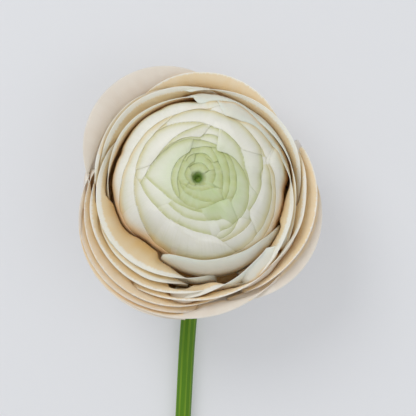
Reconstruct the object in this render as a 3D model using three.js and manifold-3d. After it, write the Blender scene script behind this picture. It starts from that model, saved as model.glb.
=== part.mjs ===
// Cut ranunculus flower lying on a table, face up, with its stem stretched out flat behind it.
// Millimetres. +Z is up, +Y points from the cut end of the stem to the bloom.
// The origin is on the table, below the middle of the flower's whole length and width.
// Inside this file the bloom and the stem are built round the middle of the bloom instead,
// and the finished flower is moved to its origin at the end.

import * as THREE from 'three';
import { mergeVertices } from 'three/addons/utils/BufferGeometryUtils.js';
import Module from 'manifold-3d';

const wasm = await Module();
wasm.setup();

// ---- Driving dimensions -------------------------------------------------

const BLOOM_HEIGHT = 29; // bloom centre above the table
const BLOOM_TILT = THREE.MathUtils.degToRad(10); // lean of the bloom axis towards +Y
const HEART_RADIUS = 15.2; // outside of the green heart
const BALL_RADIUS = 29.6; // outside of the closed ball of white petals
const NODE_GAP = 0.3; // clearance between neighbouring solids
const PETAL_THICKNESS = 0.65;
const FACET = 18; // degrees round the bloom axis between the creases that all petals share
const SEGMENTS = 360 / FACET;
const SMALL_BELLY = 12; // petals narrower than this have creases twice as far apart
const SLIVER_SHARE = 0.2; // least width of a petal's last column, as a share of the others
const RESTING_THICKNESS = 0.9; // the two petals that the bloom lies on
const FOOT_DEPTH = 1.5; // how deep a petal of the ball or heart is rooted in the core
const CORNER_START = 0.6; // where a lip starts to round off towards its corners, as |u|
const SHELL_CORNER = 0.22; // how much lower the corners of a ball petal are, as a share
const CUP_CORNER = 0.3; // the same for a cup petal

const CORE_BELLY = 36.2; // widest radius of the solid bottom of the cup
const CORE_ROOT = 6; // inner radius of that bottom's underside
const CORE_DEPTH = 20.4;
const CORE_RIM = -9; // level where the inner cup petals leave that bottom
const CORE_RIM_SHARE = 0.7; // how far up to its belly the underside reaches there
const CORE_RIM_WIDTH = 4;
const BALL_INSET = 0.2; // how far the bowl of the ball lies inside its outermost petals
const BALL_BOWL_TOP = -8;
const HEART_BOWL_TOP = -0.5;
const CROWN_BASE = 12; // height of the smallest petal shell above the bloom centre
const CROWN_RISE = 0.38; // extra height of a shell per millimetre of its radius
const SHELL_DEPTH = 0.55; // depth of a shell below the centre, as a share of its radius

const COLLAR_TOP = -16.9; // ring that the outer petals grow from
const COLLAR_BOTTOM = -18.3;
const COLLAR_INNER = 4.4;
const COLLAR_OUTER = 9.2;
const ROOT_HEIGHT = -17.6; // where every outer petal leaves the ring
const ROOT_RADII = [5.2, 8.4]; // where the innermost and the outermost of them leave it
const ROOT_BELLIES = [31, 44]; // the bellies of those two petals
const DIMPLE_SHARE = 0.62; // radius of the hollow round the stem, as a share of the belly
const BELLY_HEIGHT = -3; // widest level of the outer petals

const RECEPTACLE_HEIGHT = -18.6; // top of the swollen end of the stem
const RECEPTACLE_RADIUS = 4.6;
const RECEPTACLE_EDGE = 1.2; // thickness of its rim
const RECEPTACLE_LENGTH = 4;
const PEG_RADIUS = 3.4; // core of the receptacle that carries the petals
const PEG_TIP_RADIUS = 3.1;
const PEG_TOP = -12.5;
const NECK_RADIUS = 2.9;
const STEM_END_RADIUS = 2.45;
const NECK_START = 0.6; // below the top of the receptacle
const NECK_RUN = [-0.6, -8]; // x, and y counted from the end of the bend, that the stem passes
const STEM_LINE = [[-3.3, -44.7], [-5.3, -78], [-7.4, -122], [-8.8, -172]]; // x, y after that
const NECK_STEPS = 7;
const STEM_STEPS = 12;
const STEM_SIDES = 20;
const STEM_BORE = 1.1; // hollow of the cut end
const STEM_BORE_DEPTH = 4;

const CALYX_RADIUS = 4.95; // inside of the ring that carries the sepals
const CALYX_BAND = 2;
const CALYX_TOP = -18.65;
const CALYX_BOTTOM = -19.95;
const SEPAL_ROOT = 5.25;
const SEPAL_REACH = 13.55;
const SEPAL_LEVEL = -19.35; // middle of a sepal at its root
const SEPAL_DROP = 4.4;
const SEPAL_KEEL = 0.6; // how far the side edges of a sepal hang below its middle
const SEPAL_WIDTH = 7;
const SEPAL_THICKNESS = 0.8;
const SEPAL_ANGLES = [90, 150, 205, 335, 30];

const PROFILE_STEPS = 5; // facets of the profile of a bowl or underside
const DOME_STEPS = 8; // facets of the profile of a dome, from its middle to its top

// Creases across each kind of petal, from its foot at 0 to its free edge at 1.
const BELLY_SHARE = 0.55; // place of the widest level of a cup petal
const INNER_CUP_ROWS = [0.37, BELLY_SHARE, 0.7, 0.85, 1];
const OUTER_CUP_ROWS = [0, 0.12, 0.2, 0.36, BELLY_SHARE, 0.75, 1];
const BALL_ROWS = [0, 0.35, 0.7, 1];
const HEART_ROWS = [0, 0.5, 1];
const SEPAL_COLUMNS = [-1, -0.4, 0.4, 1];
const SEPAL_ROWS = [0, 0.25, 0.5, 0.75, 1];

// ---- Petals -------------------------------------------------------------
// at: direction of the petal's middle round the bloom axis, in degrees from +X.
// half: half of the angle that it covers.
// belly: its widest radius, either one number or those at its near edge, middle and far edge.
// lip: radius of its free edge, in the same way.

// Cup of loose petals round the ball. height: level of the free edge above the bloom centre.
// depth: how low the underside hangs, and sag: how much lower it hangs at the far edge.
const INNER_CUP = [
  { at: 283, half: 44, belly: 30.9, lip: [29.0, 31.0, 31.5], height: 9, depth: 17.6 },
  { at: 120, half: 46, belly: 31.0, lip: [28.4, 30.3, 30.4], height: 10, depth: 17.8 },
  { at: 8, half: 54, belly: [33.4, 32.1, 30.7], lip: [35.2, 29.8, 24.0], height: 15, depth: 17.8 },
  { at: 208, half: 44, belly: 33.0, lip: [32.5, 34.2, 30.8], height: 8, depth: 18.6 },
  { at: 31, half: 50, belly: [34.8, 33.3, 32.1], lip: [33.8, 29.9, 27.0], height: 11, depth: 18.9 },
  { at: 125, half: 36, belly: 34.2, lip: [33.4, 34.9, 33.8], height: 7.5, depth: 19.3 },
  { at: 291, half: 36, belly: [35.4, 34.9, 34.7], lip: [38.0, 35.3, 32.0], height: 7.5, depth: 19.0 },
  { at: 232, half: 26, belly: 34.3, lip: [34.6, 35.7, 33.6], height: 7, depth: 19.6 },
  { at: 53, half: 46, belly: [35.6, 35.5, 35.3], lip: [34.4, 34.5, 31.2], height: 8, depth: 19.9 },
  { at: 150, half: 32, belly: [35.6, 35.6, 35.0], lip: [35.8, 35.6, 33.4], height: 7, depth: 20.2 },
  { at: 340, half: 36, belly: [35.9, 36.1, 36.7], lip: [35.6, 36.2, 35.6], height: 7, depth: 20.2 },
];
const OUTER_CUP = [
  { at: 231, half: 50, belly: [35.9, 37.2, 36.6], lip: [34.9, 38.4, 33.4], height: 6, depth: 20.6 },
  { at: 297, half: 34, belly: [37.9, 37.6, 37.2], lip: [40.0, 38.1, 35.8], height: 6, depth: 20.9 },
  { at: 84, half: 42, belly: [36.8, 38.0, 36.6], lip: [35.4, 39.0, 34.8], height: 5.5, depth: 21.2 },
  { at: 338, half: 36, belly: [39.0, 39.2, 37.4], lip: [39.0, 40.1, 38.4], height: 5, depth: 22.0 },
  { at: 231, half: 50, belly: [37.0, 40.0, 39.0], lip: [36.8, 42.0, 37.6], height: 4.5, depth: 21.8 },
  { at: 230, half: 32, belly: [40.6, 41.4, 41.2], lip: [41.4, 44.0, 42.2], height: 3.5, depth: 22.6 },
  { at: 136, half: 38, belly: [40.2, 41.6, 37.6], lip: [41.6, 45.0, 37.0], height: 3, depth: 30.7, sag: 3.0 },
  { at: 336, half: 41, belly: [41.4, 42.4, 38.2], lip: [41.2, 43.6, 36.0], height: 2, depth: 32.4, sag: 1.2 },
  { at: 217, half: 38, belly: [39.4, 43.0, 43.6], lip: [37.6, 44.4, 45.0], height: 3.5, depth: 23.6 },
  { at: 268, half: 38, belly: [42.4, 42.2, 39.8], lip: [45.0, 43.9, 40.4], height: 3.5, depth: 21.9 },
];

// Closed ball: each petal follows a shell of its own and folds in over the next one.
const BALL_PETALS = [
  { at: 329, half: 44, belly: 29.1, lip: [28.8, 27.2, 25.1] },
  { at: 140, half: 58, belly: 29.0, lip: [25.5, 23.5, 27.0] },
  { at: 321, half: 50, belly: 28.1, lip: [25.8, 25.8, 23.4] },
  { at: 60, half: 38, belly: 28.1, lip: [23.9, 24.1, 24.6] },
  { at: 183, half: 62, belly: 28.0, lip: [21.5, 21.0, 24.6] },
  { at: 9, half: 38, belly: 27.0, lip: [19.6, 21.9, 24.6] },
  { at: 232, half: 50, belly: 26.6, lip: [19.0, 16.2, 18.4] },
  { at: 84, half: 48, belly: 25.9, lip: [17.3, 18.6, 21.0] },
  { at: 318, half: 46, belly: 25.5, lip: [20.5, 22.2, 21.1] },
  { at: 31, half: 36, belly: [24.5, 24.5, 24.8], lip: [16.8, 16.7, 23.6] },
  { at: 123, half: 38, belly: 24.3, lip: [18.0, 15.2, 16.1] },
  { at: 140, half: 52, belly: 22.7, lip: [13.9, 14.7, 20.0] },
  { at: 281, half: 34, belly: 22.7, lip: [16.0, 20.3, 19.0] },
  { at: 354, half: 58, belly: 21.5, lip: [18.7, 16.7, 11.2] },
  { at: 262, half: 38, belly: 20.4, lip: [12.9, 13.6, 15.5] },
  { at: 69, half: 44, belly: 20.3, lip: [14.6, 15.3, 13.8] },
  { at: 226, half: 50, belly: 19.4, lip: [17.4, 11.1, 11.4] },
  { at: 10, half: 44, belly: 19.2, lip: [13.2, 12.6, 12.8] },
  { at: 102, half: 42, belly: 18.8, lip: [12.3, 13.2, 14.0] },
  { at: 295, half: 36, belly: 18.1, lip: [11.7, 9.9, 13.2] },
  { at: 187, half: 76, belly: 17.1, lip: [8.8, 8.7, 9.8] },
  { at: 75, half: 42, belly: 16.2, lip: [12.3, 10.9, 9.3] },
];

// Green heart: the smallest petals, packed round the dimple in the middle.
const HEART_PETALS = [
  { at: 164, half: 58, belly: 14.7, lip: [8.9, 6.6, 7.8] },
  { at: 8, half: 48, belly: 14.5, lip: [11.6, 10.6, 11.8] },
  { at: 246, half: 54, belly: 13.6, lip: [5.9, 6.7, 9.0] },
  { at: 14, half: 48, belly: 12.6, lip: [9.3, 8.2, 10.2] },
  { at: 85, half: 40, belly: 11.5, lip: [7.1, 8.2, 6.6] },
  { at: 268, half: 60, belly: 11.3, lip: [5.0, 4.4, 6.6] },
  { at: 158, half: 54, belly: 9.9, lip: [5.5, 4.2, 3.4] },
  { at: 23, half: 44, belly: 9.3, lip: [5.2, 6.2, 6.8] },
  { at: 265, half: 58, belly: 8.4, lip: [3.6, 2.8, 3.6] },
  { at: 80, half: 48, belly: 7.0, lip: [4.4, 4.8, 4.4] },
  { at: 190, half: 54, belly: 5.6, lip: [2.3, 1.9, 1.9] },
  { at: 330, half: 54, belly: 4.6, lip: [2.6, 2.9, 2.6] },
];

// ---- Solids -------------------------------------------------------------

const bloomPlace = new THREE.Matrix4()
  .makeTranslation(0, 0, BLOOM_HEIGHT)
  .multiply(new THREE.Matrix4().makeRotationX(-BLOOM_TILT));

// A closed geometry becomes a manifold solid once only positions are left and shared.
function toSolid(geometry) {
  const bare = geometry.clone();
  bare.deleteAttribute('normal');
  bare.deleteAttribute('uv');
  const merged = mergeVertices(bare, 1e-4);
  return new wasm.Manifold(new wasm.Mesh({
    numProp: 3,
    vertProperties: Float32Array.from(merged.attributes.position.array),
    triVerts: Uint32Array.from(merged.index.array),
  }));
}

// Triangles of the largest connected skin only, so that pockets sealed between petals are filled.
function outerSkin(triangles, vertexCount) {
  const parent = Array.from({ length: vertexCount }, (_, i) => i);
  const find = (i) => {
    let root = i;
    while (parent[root] !== root) root = parent[root];
    while (parent[i] !== root) [parent[i], i] = [root, parent[i]];
    return root;
  };
  for (let k = 0; k < triangles.length; k += 3) {
    parent[find(triangles[k])] = find(triangles[k + 1]);
    parent[find(triangles[k + 2])] = find(triangles[k + 1]);
  }
  const sizes = new Map();
  for (const i of triangles) sizes.set(find(i), (sizes.get(find(i)) ?? 0) + 1);
  const [largest] = [...sizes].sort((a, b) => b[1] - a[1])[0];
  const kept = [];
  for (let k = 0; k < triangles.length; k += 3) {
    if (find(triangles[k]) === largest) kept.push(triangles[k], triangles[k + 1], triangles[k + 2]);
  }
  return kept;
}

function toGeometry(solid) {
  const mesh = solid.getMesh();
  const positions = new Float32Array(mesh.vertProperties);
  const geometry = new THREE.BufferGeometry();
  geometry.setAttribute('position', new THREE.BufferAttribute(positions, 3));
  geometry.setIndex(outerSkin(mesh.triVerts, positions.length / 3));
  geometry.computeVertexNormals();
  return geometry;
}

function joinAll(solids) {
  return solids.reduce((whole, piece) => whole.add(piece));
}

// Solid of revolution round the bloom axis; the profile runs upwards from axis to axis.
function turnedGeometry(profile, segments = SEGMENTS) {
  const points = profile.map(([radius, height]) => new THREE.Vector2(radius, height));
  return new THREE.LatheGeometry(points, segments).rotateX(Math.PI / 2);
}

const turned = (profile, segments = SEGMENTS) => toSolid(turnedGeometry(profile, segments));

// Ring round the bloom axis with a rectangular section.
function ring(inner, outer, bottom, top) {
  const disc = turned([[0, bottom], [outer, bottom], [outer, top], [0, top]]);
  const hole = turned([[0, bottom - 1], [inner, bottom - 1], [inner, top + 1], [0, top + 1]]);
  return disc.subtract(hole);
}

// Side edges of the columns of a petal, as u from -1 to 1: its own two edges, and every
// shared direction in between, so that neighbouring petals are creased along the same lines.
function columnEdges({ at, half, belly }) {
  const edges = [-1];
  const facet = conic(belly, 0) < SMALL_BELLY ? 2 * FACET : FACET;
  const first = Math.ceil((at - half) / facet) * facet;
  for (let angle = first; angle < at + half; angle += facet) {
    const u = (angle - at) / half;
    if (1 - Math.abs(u) > (SLIVER_SHARE * facet) / half) edges.push(u);
  }
  return [...edges, 1];
}

// Thin solid on both sides of a surface point(u, v), with a crease at each u and v of the lists.
function sheet(point, us, vs, thickness) {
  const step = 1e-3;
  const positions = [];
  const sides = [1, -1];
  for (const side of sides) {
    for (const v of vs) {
      for (const u of us) {
        const across = point(Math.min(u + step, 1), v).sub(point(Math.max(u - step, -1), v));
        const along = point(u, Math.min(v + step, 1)).sub(point(u, Math.max(v - step, 0)));
        const outwards = across.cross(along).normalize();
        const place = point(u, v).addScaledVector(outwards, (side * thickness) / 2);
        positions.push(place.x, place.y, place.z);
      }
    }
  }
  const columns = us.length - 1;
  const rows = vs.length - 1;
  const width = columns + 1;
  const layer = width * (rows + 1);
  const indices = [];
  for (let j = 0; j < rows; j += 1) {
    for (let i = 0; i < columns; i += 1) {
      const a = j * width + i;
      const b = a + 1;
      const c = a + width;
      const d = c + 1;
      indices.push(a, b, d, a, d, c);
      indices.push(layer + a, layer + d, layer + b, layer + a, layer + c, layer + d);
    }
  }
  const rim = [];
  for (let i = 0; i < columns; i += 1) rim.push(i);
  for (let j = 0; j < rows; j += 1) rim.push(j * width + columns);
  for (let i = columns; i > 0; i -= 1) rim.push(rows * width + i);
  for (let j = rows; j > 0; j -= 1) rim.push(j * width);
  rim.forEach((a, k) => {
    const b = rim[(k + 1) % rim.length];
    indices.push(a, layer + a, layer + b, a, layer + b, b);
  });
  const geometry = new THREE.BufferGeometry();
  geometry.setAttribute('position', new THREE.Float32BufferAttribute(positions, 3));
  geometry.setIndex(indices);
  return toSolid(geometry);
}

// ---- Petal surfaces -----------------------------------------------------

const crownHeight = (radius) => CROWN_BASE + CROWN_RISE * radius;
const shellDepth = (radius) => SHELL_DEPTH * radius;
const mix = (a, b, share) => a + (b - a) * share;
const clamp01 = (value) => Math.min(1, Math.max(0, value));

function aroundAxis(degrees, radius, height) {
  const angle = THREE.MathUtils.degToRad(degrees);
  return new THREE.Vector3(radius * Math.cos(angle), radius * Math.sin(angle), height);
}

const threeRadii = (radii) => (Array.isArray(radii) ? radii : [radii, radii, radii]);

// Conic in plan through the radii at u = -1, 0 and 1: one over the radius is quadratic in u.
function conic(radii, u) {
  const [near, middle, far] = threeRadii(radii).map((radius) => 1 / radius);
  const slope = (far - near) / 2;
  const bend = (far + near) / 2 - middle;
  return 1 / (middle + slope * u + bend * u * u);
}

// Rounds the two upper corners of a petal: 0 along most of the lip, 1 at both ends.
const cornerShare = (u) => Math.max(0, (Math.abs(u) - CORNER_START) / (1 - CORNER_START)) ** 2;

// Petal on a domed shell, rising from the height `foot` to its lip.
function shellPoint(petal, foot, u, v) {
  const belly = conic(petal.belly, u);
  const reach = Math.min(conic(petal.lip, u) / belly, 0.995);
  const top = Math.acos(reach) * (1 - SHELL_CORNER * cornerShare(u));
  const below = foot < 0 ? shellDepth(belly) : crownHeight(belly);
  const start = Math.asin(THREE.MathUtils.clamp(foot / below, -0.95, 0.95));
  const angle = mix(start, top, v);
  const half = angle < 0 ? shellDepth(belly) : crownHeight(belly);
  return aroundAxis(petal.at + petal.half * u, belly * Math.cos(angle), half * Math.sin(angle));
}

// Underside of a cup shell: out from the ring and up to its widest level, as share runs from 0 to 1.
function undersideOf(root, belly, depth, share) {
  const angle = share * (Math.PI / 2);
  const radius = mix(root, belly, Math.sin(angle));
  const low = mix(-depth, BELLY_HEIGHT, 1 - Math.cos(angle));
  const dimple = clamp01((radius - root) / (DIMPLE_SHARE * belly - root));
  const lift = (ROOT_HEIGHT + depth) * (1 - dimple) ** 2 * (1 + 2 * dimple);
  return [radius, low + lift];
}

// Where a cup petal leaves the ring: the wider its belly, the further out.
function rootRadius(belly) {
  const [inner, outer] = ROOT_BELLIES;
  return mix(...ROOT_RADII, clamp01((belly - inner) / (outer - inner)));
}

// Petal of the cup: out from the ring, round the belly and up to its lip.
function cupPoint(petal, u, v) {
  const belly = conic(petal.belly, u);
  const angle = petal.at + petal.half * u;
  if (v < BELLY_SHARE) {
    const root = rootRadius(conic(petal.belly, 0));
    const depth = petal.depth + (petal.sag ?? 0) * u;
    return aroundAxis(angle, ...undersideOf(root, belly, depth, v / BELLY_SHARE));
  }
  const rise = ((v - BELLY_SHARE) / (1 - BELLY_SHARE)) * (1 - CUP_CORNER * cornerShare(u));
  const radius = mix(belly, conic(petal.lip, u), rise * rise);
  return aroundAxis(angle, radius, mix(BELLY_HEIGHT, petal.height, rise));
}

// ---- Bloom --------------------------------------------------------------

// Solid under a domed shell of the given radius, whole below the centre and above it.
function dome(radius) {
  const profile = [];
  for (let step = -DOME_STEPS; step <= DOME_STEPS; step += 1) {
    const angle = (step / DOME_STEPS) * (Math.PI / 2);
    const half = angle < 0 ? shellDepth(radius) : crownHeight(radius);
    const onAxis = Math.abs(step) === DOME_STEPS;
    profile.push([onAxis ? 0 : radius * Math.cos(angle), half * Math.sin(angle)]);
  }
  return turned(profile);
}

// Profile of the lower half of a shell, from the axis out to the height where it stops.
function bowlProfile(radius, stop) {
  const end = Math.asin(stop / shellDepth(radius));
  const profile = [];
  for (let step = 0; step <= PROFILE_STEPS; step += 1) {
    const angle = mix(-Math.PI / 2, end, step / PROFILE_STEPS);
    profile.push([step === 0 ? 0 : radius * Math.cos(angle), shellDepth(radius) * Math.sin(angle)]);
  }
  return profile;
}

// Level of the solid core between the petals, which sinks towards the outside.
const BALL_CORE = [[14, 8.5], [21, 7.5], [25, 5], [26.6, -0.5], [27.6, -7.2]];
const HEART_CORE = [[0, 8], [5, 9], [9, 8.5], [12.5, 6], [14.4, 0]];

function coreLevel(core, radius) {
  const after = core.findIndex(([edge]) => edge > radius);
  if (after < 0) return core[core.length - 1][1];
  if (after === 0) return core[0][1];
  const [innerEdge, innerLevel] = core[after - 1];
  const [outerEdge, outerLevel] = core[after];
  return mix(innerLevel, outerLevel, (radius - innerEdge) / (outerEdge - innerEdge));
}

function shellPetals(petals, core, rows) {
  return petals.map((petal) => {
    const foot = coreLevel(core, conic(petal.belly, 0)) - FOOT_DEPTH;
    return sheet((u, v) => shellPoint(petal, foot, u, v), columnEdges(petal), rows, PETAL_THICKNESS);
  });
}

const pegHole = turned([
  [0, RECEPTACLE_HEIGHT],
  [PEG_RADIUS + NODE_GAP, RECEPTACLE_HEIGHT],
  [PEG_RADIUS + NODE_GAP, PEG_TOP + NODE_GAP],
  [0, PEG_TOP + NODE_GAP],
]);

function makeHeart() {
  const core = turned([...bowlProfile(HEART_RADIUS, HEART_BOWL_TOP), ...HEART_CORE.slice().reverse()]);
  return joinAll([core, ...shellPetals(HEART_PETALS, HEART_CORE, HEART_ROWS)]);
}

function makeBall() {
  const core = turned([
    ...bowlProfile(BALL_RADIUS - BALL_INSET, BALL_BOWL_TOP),
    ...BALL_CORE.slice().reverse(),
    [0, BALL_CORE[0][1]],
  ]);
  return joinAll([core, ...shellPetals(BALL_PETALS, BALL_CORE, BALL_ROWS)])
    .subtract(dome(HEART_RADIUS + NODE_GAP))
    .subtract(pegHole);
}

function cupPetal(petal, rows) {
  const thickness = petal.sag ? RESTING_THICKNESS : PETAL_THICKNESS;
  return sheet((u, v) => cupPoint(petal, u, v), columnEdges(petal), rows, thickness);
}

// The two lowest petals are pressed flat where they touch the table.
function belowTable() {
  const block = new THREE.BoxGeometry(200, 200, 40).translate(0, 0, -20);
  return toSolid(block.applyMatrix4(bloomPlace.clone().invert()));
}

function makeCup() {
  const underside = [];
  for (let step = 0; step <= PROFILE_STEPS; step += 1) {
    const share = (CORE_RIM_SHARE * step) / PROFILE_STEPS;
    underside.push(undersideOf(CORE_ROOT, CORE_BELLY, CORE_DEPTH, share));
  }
  const inside = underside[underside.length - 1][0] - CORE_RIM_WIDTH;
  const core = turned([[0, ROOT_HEIGHT], ...underside, [inside, CORE_RIM], [0, CORE_RIM]]);
  const collar = ring(COLLAR_INNER, COLLAR_OUTER, COLLAR_BOTTOM, COLLAR_TOP);
  const petals = [
    ...INNER_CUP.map((petal) => cupPetal(petal, INNER_CUP_ROWS)),
    ...OUTER_CUP.map((petal) => cupPetal(petal, OUTER_CUP_ROWS)),
  ];
  return joinAll([core.subtract(dome(BALL_RADIUS + NODE_GAP)), collar, ...petals])
    .subtract(pegHole)
    .subtract(belowTable());
}

// Five small sepals on a ring of their own, bent down under the petals.
function sepalPoint(direction, u, v) {
  const radius = mix(SEPAL_ROOT, SEPAL_REACH, v);
  const width = (SEPAL_WIDTH / 2) * Math.sqrt(Math.sin(Math.PI * mix(0.2, 0.97, v)));
  const height = SEPAL_LEVEL - SEPAL_DROP * v ** 1.6 - SEPAL_KEEL * u * u;
  const across = direction.clone().cross(new THREE.Vector3(0, 0, -1));
  return direction.clone().multiplyScalar(radius).addScaledVector(across, width * u).setZ(height);
}

function makeCalyx() {
  const band = ring(CALYX_RADIUS, CALYX_RADIUS + CALYX_BAND, CALYX_BOTTOM, CALYX_TOP);
  const sepals = SEPAL_ANGLES.map((angle) => {
    const direction = aroundAxis(angle, 1, 0);
    return sheet((u, v) => sepalPoint(direction, u, v), SEPAL_COLUMNS, SEPAL_ROWS, SEPAL_THICKNESS);
  });
  return joinAll([band, ...sepals]);
}

// ---- Stem ---------------------------------------------------------------

// Middle line of the stem: it leaves the bloom along its axis, bends and runs along the table.
const neckTop = new THREE.Vector3(0, 0, RECEPTACLE_HEIGHT - NECK_START).applyMatrix4(bloomPlace);
const neckBend = (neckTop.z - NECK_RADIUS) / (1 - Math.sin(BLOOM_TILT));

function neckPoint(share) {
  const angle = mix(BLOOM_TILT, Math.PI / 2, share);
  const back = neckBend * (Math.cos(BLOOM_TILT) - Math.cos(angle));
  const down = neckBend * (Math.sin(angle) - Math.sin(BLOOM_TILT));
  return new THREE.Vector3(0, neckTop.y - back, neckTop.z - down);
}

const neckEnd = neckPoint(1);
const lyingPart = new THREE.CatmullRomCurve3([
  neckEnd,
  new THREE.Vector3(NECK_RUN[0], neckEnd.y + NECK_RUN[1], 0),
  ...STEM_LINE.map(([x, y]) => new THREE.Vector3(x, y, 0)),
]);

function stemStations() {
  const stations = [];
  for (let step = 0; step <= NECK_STEPS; step += 1) {
    stations.push({ centre: neckPoint(step / NECK_STEPS), radius: NECK_RADIUS });
  }
  for (let step = 1; step <= STEM_STEPS; step += 1) {
    const share = step / STEM_STEPS;
    const radius = mix(NECK_RADIUS, STEM_END_RADIUS, share);
    stations.push({ centre: lyingPart.getPointAt(share).setZ(radius), radius });
  }
  return stations;
}

// Round tube through the stations, closed by a flat face at both ends.
function tube(stations, sides) {
  const positions = [];
  const indices = [];
  stations.forEach(({ centre, radius }, k) => {
    const before = stations[Math.max(k - 1, 0)].centre;
    const after = stations[Math.min(k + 1, stations.length - 1)].centre;
    const forward = after.clone().sub(before).normalize();
    const side = new THREE.Vector3(1, 0, 0).addScaledVector(forward, -forward.x).normalize();
    const up = side.clone().cross(forward);
    for (let i = 0; i < sides; i += 1) {
      const angle = (i / sides) * 2 * Math.PI;
      const place = centre.clone()
        .addScaledVector(side, radius * Math.cos(angle))
        .addScaledVector(up, radius * Math.sin(angle));
      positions.push(place.x, place.y, place.z);
    }
  });
  const last = (stations.length - 1) * sides;
  for (let k = 0; k < last; k += sides) {
    for (let i = 0; i < sides; i += 1) {
      const next = (i + 1) % sides;
      indices.push(k + i, k + sides + next, k + next, k + i, k + sides + i, k + sides + next);
    }
  }
  for (let i = 1; i < sides - 1; i += 1) {
    indices.push(0, i, i + 1, last, last + i + 1, last + i);
  }
  const geometry = new THREE.BufferGeometry();
  geometry.setAttribute('position', new THREE.Float32BufferAttribute(positions, 3));
  geometry.setIndex(indices);
  return toSolid(geometry);
}

function makeStem() {
  const stations = stemStations();
  const stalk = tube(stations, STEM_SIDES);
  const receptacle = toSolid(turnedGeometry([
    [0, RECEPTACLE_HEIGHT - RECEPTACLE_LENGTH],
    [NECK_RADIUS, RECEPTACLE_HEIGHT - RECEPTACLE_LENGTH],
    [RECEPTACLE_RADIUS, RECEPTACLE_HEIGHT - RECEPTACLE_EDGE],
    [RECEPTACLE_RADIUS, RECEPTACLE_HEIGHT],
    [PEG_RADIUS, RECEPTACLE_HEIGHT],
    [PEG_TIP_RADIUS, PEG_TOP],
    [0, PEG_TOP],
  ]).applyMatrix4(bloomPlace));
  const end = stations[stations.length - 1].centre;
  const inside = stations[stations.length - 2].centre;
  const inwards = inside.clone().sub(end).normalize();
  const bore = new THREE.CylinderGeometry(STEM_BORE, STEM_BORE, 2 * STEM_BORE_DEPTH, 16);
  bore.applyQuaternion(new THREE.Quaternion().setFromUnitVectors(new THREE.Vector3(0, 1, 0), inwards));
  bore.translate(end.x, end.y, end.z);
  return stalk.add(receptacle).subtract(toSolid(bore));
}

// ---- Assembly -----------------------------------------------------------

function named(name, solid, colour, roughness) {
  const material = new THREE.MeshStandardMaterial({ color: colour, roughness, metalness: 0 });
  const mesh = new THREE.Mesh(toGeometry(solid), material);
  mesh.name = name;
  return mesh;
}

const bloom = new THREE.Group();
bloom.add(
  named('outer_petals', makeCup(), 0xe6d6c0, 0.62),
  named('middle_petals', makeBall(), 0xe3e6dc, 0.6),
  named('heart_petals', makeHeart(), 0xa9c07a, 0.6),
  named('calyx', makeCalyx(), 0x7f9a3e, 0.6),
);
bloom.applyMatrix4(bloomPlace);

const flower = new THREE.Group();
flower.add(bloom, named('stem', makeStem(), 0x55782a, 0.5));

const middle = new THREE.Box3().setFromObject(flower, true).getCenter(new THREE.Vector3());
flower.position.set(-middle.x, -middle.y, 0);
flower.updateMatrixWorld(true);

export default flower;
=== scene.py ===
"""Cut ranunculus flower, lying face up: the finished petals, calyx and stem, and the stage they lie on.

All shapes are worked out in millimetres. The bloom is built round its own centre with its axis
along Z, and is then leaned and moved to its place over the table. Angles run round that axis,
from +X towards +Y.
"""

import math
from typing import NamedTuple

import bpy
import numpy as np
from bpy.props import FloatProperty, FloatVectorProperty, PointerProperty
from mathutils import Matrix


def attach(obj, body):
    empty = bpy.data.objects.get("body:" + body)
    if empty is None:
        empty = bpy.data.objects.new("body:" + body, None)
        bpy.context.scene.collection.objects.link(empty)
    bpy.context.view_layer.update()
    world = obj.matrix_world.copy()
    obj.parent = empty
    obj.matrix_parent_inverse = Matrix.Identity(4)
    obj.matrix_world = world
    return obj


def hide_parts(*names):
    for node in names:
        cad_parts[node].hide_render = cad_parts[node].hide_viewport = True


bl_info = {
    "name": "Ranunculus flower",
    "version": (1, 0, 0),
    "blender": (4, 5, 0),
    "location": "3D View > Sidebar > Ranunculus",
    "description": "Builds a cut ranunculus bloom on its stem, petal by petal",
    "category": "Add Mesh",
}

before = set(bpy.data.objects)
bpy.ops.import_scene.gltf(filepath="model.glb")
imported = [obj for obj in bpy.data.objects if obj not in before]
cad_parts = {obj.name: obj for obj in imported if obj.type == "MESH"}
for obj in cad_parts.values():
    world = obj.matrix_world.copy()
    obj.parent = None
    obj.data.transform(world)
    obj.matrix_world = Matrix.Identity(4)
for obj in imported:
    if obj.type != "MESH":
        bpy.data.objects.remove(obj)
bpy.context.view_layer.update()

MM = 0.001
BODY = "root"

# ---- Sizes in millimetres and angles in degrees ----
# The bloom's place, the stem, the calyx and the roots of the petals are those of the solids.

BLOOM_CENTRE = np.array([-0.75, 65.29, 29.0])
BLOOM_TILT = math.radians(10)

BELLY_HEIGHT = -3.0  # widest level of the loose outer petals
BELLY_SHARE = 0.55  # its place between a petal's root at 0 and its lip at 1
BELLY_SLOPES = (86, 94)  # slopes from the axis where a wall turns into the underside
ROOT_HEIGHT = -17.6  # where those petals leave the stem
ROOT_RADII = (5.2, 8.4)  # the same, for the bellies below
ROOT_BELLIES = (31.0, 44.0)
DIMPLE_SHARE = 0.62  # radius of the dimple round the stem, as a share of the belly
CLAW_SHARE = 0.5  # width of a loose petal at its root, as a share of its full width
CLAW_END = 0.44  # place from which it has that
CUP_LEAN = 3.8  # power of the rise with which its wall leans out
CORNER_START = 0.6  # place across it where its lip drops to its corner
CORNER_DROP = 0.3  # share of its height that it loses there
CUP_END_SLOPE = 92.0  # slope down to which the ends of its lip sink
END_SUNK = 0.97  # share of a quarter ellipse that they go down
END_BEND = 1.1  # place past its edge where a lip stops bending
WIDEST = 60.0  # limit to any lip or belly

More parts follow.
